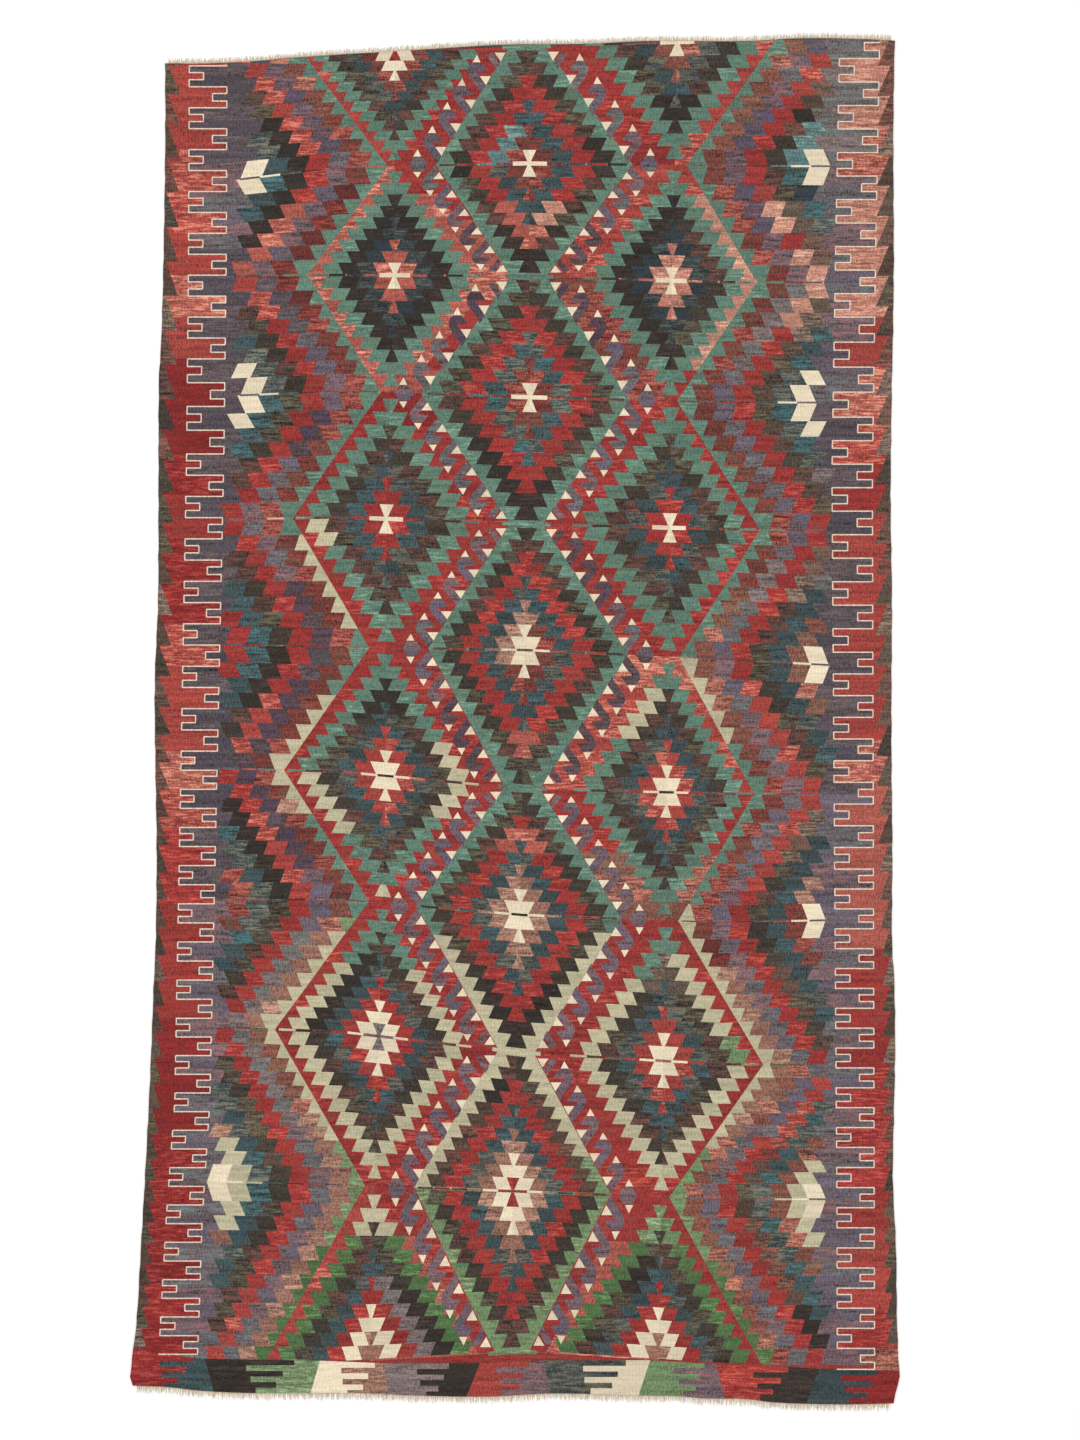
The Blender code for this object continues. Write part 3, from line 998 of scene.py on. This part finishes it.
WEFT_PITCH = 0.0012  # from one weft thread to the next
WARP_STRAY = 0.0016  # how far the warps stray from their places
YARN_TWIST = 0.0011  # from one turn of the undyed yarn to the next
YARN_BUMPS = 0.0003  # height of its ridges and hairs
LOTS_APART = 60.0  # how far apart in the noise two patches can lie
STREAK_LEVEL = 0.62  # the noise above which another wool shows in a dye,
STREAK_BY_SHARE = 0.26  # and how much lower that is where there is more of it
STREAK_EDGE = 14.0  # how sharply it begins
SHADES, SHADES_BY_SHARE = 0.20, 1.6  # how far the shade swings, and more for more of the other wools
WEAR = 0.20  # how far it swings over the whole rug
GROOVE_SHADE, CREST_HIGHLIGHT = 0.84, 0.22  # painted shade in the groove between two warps, and the painted light that a warp's crest adds to it
GLINT_LEVEL, GLINT_SHARE = 0.84, 0.35  # the noise above which a painted highlight speck shows, and how much of it
# the pale beige of the painted highlight specks
GLINT_COLOUR = (0.60, 0.52, 0.40, 1)


def dyed_weft(settings):
    """Hard-spun dyed wool, woven weft-faced over warps that show as ribs; shade between ribs and glints are
    painted in.
    """
    finish = Finish("dyed_wool_weft_woven")
    lot = finish.held("lot") * LOTS_APART
    share = finish.held("share")

    # short runs of weft of another wool, and bands where the shade changed
    runs = finish.noise((32.0, 230.0, 0.0), 2.5, 0.66, W=lot)
    bands = finish.noise((5.0, 120.0, 0.0), 2.0, 0.6, W=lot + 7.0)
    other = ((runs - STREAK_LEVEL + share * STREAK_BY_SHARE) * STREAK_EDGE).clamped() * settings.streaks
    wool = finish.blended(other, finish.held("dye", "Color"), finish.held("streak", "Color"))
    nap = finish.noise((300.0, 400.0, 0.0), 1.0)
    beads = finish.noise((330.0, 90.0, 0.0), 1.0)
    wear = finish.noise((2.2, 2.2, 0.0), 3.0)
    uneven = (bands - 0.5) * 1.6 + (runs - 0.5) * 2.2 + (nap - 0.5) * 2.0 + (beads - 0.5) * 1.5
    shade = 1.0 + uneven * (SHADES + share * SHADES_BY_SHARE) + (wear - 0.5) * WEAR

    across = finish.part(finish.place, "X") + finish.noise((40.0, 5.0, 0.0), 2.0) * WARP_STRAY
    rib = across.ridges(settings.warp_pitch)
    # painted shade: the colour is darker in the grooves between warps and lighter on their crests
    shade = shade * (GROOVE_SHADE + rib * CREST_HIGHLIGHT)

    # painted highlights: pale beige specks that stand for glints of light where weft crosses warp
    painted_glints = finish.noise((300.0, 360.0, 0.0), 0.0).over(GLINT_LEVEL) * GLINT_SHARE
    colour = finish.blended(painted_glints, finish.shaded(wool, shade), GLINT_COLOUR)

    thread = finish.part(finish.place, "Y").ridges(WEFT_PITCH)
    height = rib * 0.7 + thread * 0.18 + nap * 0.35 + runs * 0.25
    return finish.done(
        Base_Color=colour,
        Roughness=(0.86 + nap * 0.14).clamped(),
        Normal=finish.bumps(height, settings.rib_height),
        Sheen_Weight=0.10,
        Sheen_Roughness=0.6,
        Specular_IOR_Level=0.2,
    )


def undyed_yarn(name, wool):
    """Undyed wool yarn, uneven in shade, with its twist as fine slanted ridges."""
    finish = Finish(name)
    patches = finish.noise((170.0, 60.0, 60.0), 3.0, 0.6)
    hairs = finish.noise((1500.0, 1500.0, 1500.0), 1.0)
    colour = finish.shaded((*wool, 1), 1.0 + (patches - 0.5) * 1.00 + (hairs - 0.5) * 0.25)
    twist = (finish.part(finish.place, "X") + finish.part(finish.place, "Y")).ridges(YARN_TWIST)
    return finish.done(
        Base_Color=colour,
        Roughness=(0.85 + hairs * 0.15).clamped(),
        Normal=finish.bumps(twist * 0.6 + hairs * 0.5, YARN_BUMPS),
        Sheen_Weight=0.15,
        Sheen_Roughness=0.5,
        Specular_IOR_Level=0.2,
    )


def floor_finish(colour):
    """A plain pale matt floor."""
    finish = Finish("studio_floor_matt")
    tone = finish.noise((0.4, 0.4, 0.4), 1.0)
    return finish.done(Base_Color=finish.shaded((*colour, 1), 0.995 + tone * 0.01), Roughness=0.9)


# ---- Meshes


def top_rim(node):
    """The outline of a flat CAD node's top face, anticlockwise, as (x, y) points, and its height."""
    low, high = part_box(node)
    mesh = bmesh.new()
    mesh.from_mesh(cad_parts[node].data)
    bmesh.ops.remove_doubles(mesh, verts=mesh.verts, dist=1e-6)
    middle = (low.z + high.z) / 2
    tops = {f for f in mesh.faces if all(v.co.z > middle for v in f.verts)}
    rim = {}
    for face in tops:
        for loop in face.loops:
            if not any(other in tops for other in loop.edge.link_faces if other is not face):
                rim[loop.vert] = loop.link_loop_next.vert
    first = next(iter(rim))
    outline = [first]
    while rim[outline[-1]] is not first:
        outline.append(rim[outline[-1]])
    points = [(v.co.x, v.co.y) for v in outline]
    mesh.free()
    return points, high.z


def end_edge(outline, outward):
    """The part of an anticlockwise outline between its two corners at one end, from left to right."""
    corners = [max(outline, key=lambda p: side * p[0] + outward * p[1]) for side in (outward, -outward)]
    first, last = (outline.index(corner) for corner in corners)
    return sorted((outline[first:] + outline[:first])[: (last - first) % len(outline) + 1])


def inside(points, polygon):
    """Which of an array of points lie in a polygon."""
    x, y = points[:, 0], points[:, 1]
    result = np.zeros(len(points), bool)
    for (x0, y0), (x1, y1) in zip(polygon, polygon[1:] + polygon[:1]):
        if y0 != y1:
            result ^= ((y0 > y) != (y1 > y)) & (x < x0 + (y - y0) * (x1 - x0) / (y1 - y0))
    return result


PAST_RIM = 0.02  # how far beyond the rug's sides the patches are kept
NEARER = 2e-5  # points closer than this become one when the sheet is cut


def woven_sheet(outline, patches):
    """A flat sheet cut along its patches' edges: its corners, its triangles, the patch that each shows, and
    its area."""
    low, high = min(x for x, _ in outline) - PAST_RIM, max(x for x, _ in outline) + PAST_RIM
    points, edges = [], []
    for corners in (outline, *(corners for corners, _ in patches)):
        start, count = len(points), len(corners)
        points += [Vector((min(max(x, low), high), y)) for x, y in corners]
        edges += [(start + k, start + (k + 1) % count) for k in range(count)]
    verts, _, faces, _, _, _ = geometry.delaunay_2d_cdt(points, edges, [], 0, NEARER, False)
    verts = np.array([tuple(v) for v in verts])
    faces = np.array([f for f in faces if len(f) == 3])
    faces = faces[inside(verts[faces].mean(axis=1), outline)]
    centres = verts[faces].mean(axis=1)
    shown = np.zeros(len(faces), int)
    for number, (corners, _) in enumerate(patches):
        boxed = (centres > np.min(corners, axis=0)) & (centres < np.max(corners, axis=0))
        near = boxed.all(axis=1).nonzero()[0]
        if len(near):
            shown[near[inside(centres[near], corners)]] = number

    used, faces = np.unique(faces, return_inverse=True)
    verts, faces = verts[used], faces.reshape(-1, 3)
    a, b, c = (verts[faces[:, k]] for k in range(3))
    turned = (b[:, 0] - a[:, 0]) * (c[:, 1] - a[:, 1]) - (b[:, 1] - a[:, 1]) * (c[:, 0] - a[:, 0])
    faces[turned < 0] = faces[turned < 0][:, ::-1]
    return verts, faces, shown, float(np.abs(turned).sum() / 2)


def cloth_mesh(settings):
    """The cloth with its patches on both faces, joined round the rim, and the area of one face."""
    outline, top = top_rim("kilim_cloth")
    patches = [(on_rug(corners), dye) for corners, dye in woven()]
    verts, faces, shown, area = woven_sheet(outline, patches)
    directed = {}
    for face, (i, j, k) in enumerate(faces):
        directed.update({(i, j): face, (j, k): face, (k, i): face})
    rim = [(*edge, face) for edge, face in directed.items() if edge[::-1] not in directed]
    count = len(verts)
    all_verts = [(x, y, z) for z in (top, 0.0) for x, y in verts]
    all_faces = [(i, j, k) for i, j, k in faces]
    all_faces += [(k + count, j + count, i + count) for i, j, k in faces]
    all_faces += [(start + count, end + count, end, start) for start, end, _ in rim]
    mesh = bpy.data.meshes.new("rug_cloth")
    mesh.from_pydata(all_verts, [], [tuple(int(v) for v in f) for f in all_faces])

    rng = random.Random(SEED)
    looks = []
    for _, dye in patches:
        shade = 1 + settings.shade_spread * rng.uniform(-1, 1)
        colour, share, *others = DYES[dye]
        looks.append((*linear(colour, shade), *linear(rng.choice(others), shade), share, rng.random()))
    source = [*shown, *shown, *(shown[face] for _, _, face in rim)]
    table = np.array(looks, dtype=np.float32)[source]
    for name, kind, key, columns in (
        ("dye", "FLOAT_COLOR", "color", slice(0, 4)),
        ("streak", "FLOAT_COLOR", "color", slice(4, 8)),
        ("share", "FLOAT", "value", slice(8, 9)),
        ("lot", "FLOAT", "value", slice(9, 10)),
    ):
        mesh.attributes.new(name, kind, "FACE").data.foreach_set(key, table[:, columns].ravel())
    mesh.validate()
    mesh.update()
    return mesh, area


def on_rug(points, *height):
    """Points of the pattern, moved from its own measure into the rug's frame."""
    return [(x - MIDDLE[0], y - MIDDLE[1], *height) for x, y in points]


STITCH_SLANT = (0.25, 0.60)  # angles between a stitch and its line
STITCH_WIDTH = (0.85, 1.12)  # shares of the thread's width
STITCH_LENGTH = 1.25  # a stitch's length, in pitches


def contour_stitches(settings, material):
    """Wrapped stitches, one after the other, each lying a little aslant over a line."""
    tree = Growth("contour_stitches", settings)
    pitch, width, height = (tree.setting(name) for name in ("Pitch", "Width", "Height"))
    steps = tree.node("GeometryNodeResampleCurve", {"mode": "LENGTH"}, Curve=tree.line, Length=pitch)
    stitch = tree.node("GeometryNodeMeshUVSphere", Radius=0.5, Segments=6, Rings=4)
    smooth = tree.node("GeometryNodeSetShadeSmooth", Geometry=stitch)
    tangent = tree.node("GeometryNodeInputTangent")
    aligned = tree.node("FunctionNodeAlignRotationToVector", {"axis": "X"}, Vector=tangent)
    slant = tree.vector(0.0, 0.0, tree.random(*STITCH_SLANT))
    local = {"rotation_space": "LOCAL"}
    turn = tree.node("FunctionNodeRotateRotation", local, Rotation=aligned, Rotate_By=slant)
    size = tree.vector(pitch * STITCH_LENGTH, width * tree.random(*STITCH_WIDTH, 1), height * 2.0)
    tree.end(tree.instances(steps, smooth, turn, size), material)
    return tree


WARP_TIP = 0.18  # radius of a warp end's tip, where its root is 0.5
WARP_LEAN = (-0.22, 0.22)  # angles to the left and right
WARP_DROOP = (-0.06, 0.04)  # angles down and up
WARP_LENGTH = (0.50, 1.0)  # shares of the longest
WARP_GIRTH = (0.7, 1.25)  # shares of the thickness
WAVES = 260.0  # of the noise that bends the warp ends, in a metre
WAVE_REACH = (0.0085, 0.0035, 0.0012)  # how far it bends their tips on each axis


def warp_ends(settings, material, name, outward):
    """Warp ends side by side along a line, of uneven length, each bent and frayed towards its tip."""
    tree = Growth(name, settings)
    threads = tree.setting("Threads")
    roots = tree.node("GeometryNodeResampleCurve", {"mode": "COUNT"}, Curve=tree.line, Count=threads)
    thread = tree.node(
        "GeometryNodeMeshCone",
        {"fill_type": "NGON"},
        Vertices=4,
        Side_Segments=4,
        Radius_Top=WARP_TIP,
        Radius_Bottom=0.5,
        Depth=1.0,
    )
    marked = tree.node(
        "GeometryNodeStoreNamedAttribute",
        {"data_type": "FLOAT", "domain": "POINT"},
        Geometry=thread,
        Name="along",
        Value=tree.part(tree.node("GeometryNodeInputPosition"), "Z"),
    )
    turn = tree.vector(tree.random(*WARP_DROOP, 2) - outward * math.pi / 2, 0.0, tree.random(*WARP_LEAN))
    girth = tree.setting("Thickness") * tree.random(*WARP_GIRTH, 3)
    size = tree.vector(girth, girth, tree.setting("Length") * tree.random(*WARP_LENGTH, 1))
    real = tree.node("GeometryNodeRealizeInstances", Geometry=tree.instances(roots, marked, turn, size))
    noise = tree.node("ShaderNodeTexNoise", {"noise_dimensions": "3D"}, Scale=WAVES, Detail=1.0)
    away = tree.vectors("SUBTRACT", tree.out(noise, "Color"), (0.5, 0.5, 0.5))
    share = tree.out(tree.node("GeometryNodeInputNamedAttribute", {"data_type": "FLOAT"}, Name="along"))
    reach = tree.vector(*(share * most for most in WAVE_REACH))
    bent = tree.node("GeometryNodeSetPosition", Geometry=real, Offset=tree.vectors("MULTIPLY", away, reach))
    tree.end(bent, material)
    return tree


def finished(name, mesh, material, material_slot, *nodes):
    """Puts a piece in the scene, riding on the rug in the place of its CAD nodes."""
    piece = bpy.data.objects.new(name, mesh)
    bpy.context.scene.collection.objects.link(piece)
    mesh.materials.clear()
    mesh.materials.append(material)
    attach(piece, BODY)
    if nodes:
        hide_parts(*nodes)
    return piece


# ---- Operators


class KILIM_OT_cloth(bpy.types.Operator):
    """Weave the cloth with its medallions, hooks, fields, borders and striped end"""

    bl_idname = "kilim.cloth"
    bl_label = "Cloth"

    def execute(self, context):
        settings = context.scene.kilim_cloth
        mesh, area = cloth_mesh(settings)
        cloth = finished("rug_cloth", mesh, dyed_weft(settings), "dyed_wool_weft", "kilim_cloth")
        cloth["flat_area"] = area
        return {"FINISHED"}


class KILIM_OT_contours(bpy.types.Operator):
    """Wrap the raised pale thread round the fingers of both borders"""

    bl_idname = "kilim.contours"
    bl_label = "Contour threads"

    def execute(self, context):
        group = context.scene.kilim_contour
        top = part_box("kilim_cloth")[1].z
        yarn = undyed_yarn("undyed_wool_contour", group.wool)
        settings = {"Pitch": group.pitch, "Width": group.width, "Height": group.height, "Seed": SEED}
        for side, path in (
            ("left", thread_path(LEFT_FINGERS, LEFT_ENDS, LEFT_THREAD)),
            ("right", thread_path(RIGHT_FINGERS, RIGHT_ENDS, RIGHT_THREAD)),
        ):
            mesh = grown(on_rug(path, top), contour_stitches(settings, yarn), settings)
            finished("contour_thread_" + side, mesh, yarn, "undyed_wool_warp")
        return {"FINISHED"}


ROOM_AT_ENDS = 0.003  # how far the warp ends start beyond the CAD fringe's ends
ROOTED = 0.001  # how far inside the cloth's edge they start


class KILIM_OT_fringe(bpy.types.Operator):
    """Fray the warp ends at the head and the foot"""

    bl_idname = "kilim.fringe"
    bl_label = "Warp ends"

    def execute(self, context):
        group = context.scene.kilim_fringe
        yarn = undyed_yarn("undyed_wool_frayed", group.wool)
        outline, _ = top_rim("kilim_cloth")
        for end, outward, longest in (("head", 1, group.head_length), ("foot", -1, group.foot_length)):
            low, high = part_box("fringe_" + end)
            xs, ys = zip(*end_edge(outline, outward))
            start, stop = low.x - ROOM_AT_ENDS, high.x + ROOM_AT_ENDS
            places = [start, *[x for x in xs if start < x < stop], stop]
            height = (high.z + low.z) / 2
            path = [(x, float(np.interp(x, xs, ys)) - outward * ROOTED, height) for x in places]
            settings = {
                "Threads": group.threads,
                "Length": longest,
                "Thickness": group.thickness,
                "Seed": SEED + outward,
            }
            mesh = grown(path, warp_ends(settings, yarn, "warp_ends_" + end, outward), settings)
            finished("warp_ends_" + end, mesh, yarn, "undyed_wool_warp", "fringe_" + end)
        return {"FINISHED"}


FRAME_LENGTH = 3.168  # what the camera's long side covers on the floor
VIEW_CENTRE = (0.054, 0.008)  # in the pattern's own measure
SENSOR_WIDTH = 36.0  # millimetres
SKY = 0.62  # strength of the even light from all round
LAMP_COLOUR = (1, 0.99, 0.97)
LAMPS = (
    # name, place, size, power
    ("overhead", (0.0, 0.0, 5.0), (6.0, 6.0), 184.0),
    ("window_side", (-4.5, 3.0, 4.0), (3.0, 3.0), 40.0),
)


class KILIM_OT_stage(bpy.types.Operator):
    """Lay the floor, hang the lights and set the camera straight above the rug"""

    bl_idname = "kilim.stage"
    bl_label = "Studio"

    def execute(self, context):
        settings = context.scene.kilim_stage
        half = settings.floor_size / 2
        corners = [(-half, -half, 0), (half, -half, 0), (half, half, 0), (-half, half, 0)]
        mesh = bpy.data.meshes.new("studio_floor")
        mesh.from_pydata(corners, [], [(0, 1, 2, 3)])
        mesh.materials.append(floor_finish(settings.floor))
        floor = bpy.data.objects.new("studio_floor", mesh)
        context.scene.collection.objects.link(floor)

        world = bpy.data.worlds.new("studio")
        world.use_nodes = True
        sky = world.node_tree.nodes["Background"].inputs
        sky["Color"].default_value = (1, 1, 1, 1)
        sky["Strength"].default_value = SKY
        context.scene.world = world
        for name, place, size, power in LAMPS:
            lamp = bpy.data.lights.new(name, "AREA")
            lamp.shape = "RECTANGLE"
            lamp.size, lamp.size_y = size
            lamp.energy = power
            lamp.color = LAMP_COLOUR
            light = bpy.data.objects.new(name, lamp)
            light.location = place
            light.rotation_euler = (-Vector(place)).to_track_quat("-Z", "Y").to_euler()
            context.scene.collection.objects.link(light)

        camera = bpy.data.cameras.new("camera")
        camera.sensor_width = SENSOR_WIDTH
        camera.lens = settings.lens
        view = bpy.data.objects.new("camera", camera)
        view.location = on_rug([VIEW_CENTRE], FRAME_LENGTH * settings.lens / SENSOR_WIDTH)[0]
        context.scene.collection.objects.link(view)
        context.scene.camera = view
        context.scene.view_settings.view_transform = "Standard"
        return {"FINISHED"}


STEPS = (
    (KILIM_OT_cloth, "kilim_cloth", KilimCloth),
    (KILIM_OT_contours, "kilim_contour", KilimContour),
    (KILIM_OT_fringe, "kilim_fringe", KilimFringe),
    (KILIM_OT_stage, "kilim_stage", KilimStage),
)


class KILIM_PT_rug(bpy.types.Panel):
    """The rug's settings and the steps that make it"""

    bl_idname = "KILIM_PT_rug"
    bl_label = "Kilim rug"
    bl_space_type = "VIEW_3D"
    bl_region_type = "UI"
    bl_category = "Kilim"

    def draw(self, context):
        for operator, group, _ in STEPS:
            box = self.layout.box()
            box.operator(operator.bl_idname)
            settings = getattr(context.scene, group)
            for name in settings.__annotations__:
                box.prop(settings, name)


def register():
    for operator, group, settings in STEPS:
        bpy.utils.register_class(settings)
        bpy.utils.register_class(operator)
        setattr(bpy.types.Scene, group, bpy.props.PointerProperty(type=settings))
    bpy.utils.register_class(KILIM_PT_rug)


def unregister():
    bpy.utils.unregister_class(KILIM_PT_rug)
    for operator, group, settings in reversed(STEPS):
        delattr(bpy.types.Scene, group)
        bpy.utils.unregister_class(operator)
        bpy.utils.unregister_class(settings)


def main():
    register()
    bpy.ops.kilim.cloth()
    bpy.ops.kilim.contours()
    bpy.ops.kilim.fringe()
    bpy.ops.kilim.stage()


if __name__ == "__main__":
    main()
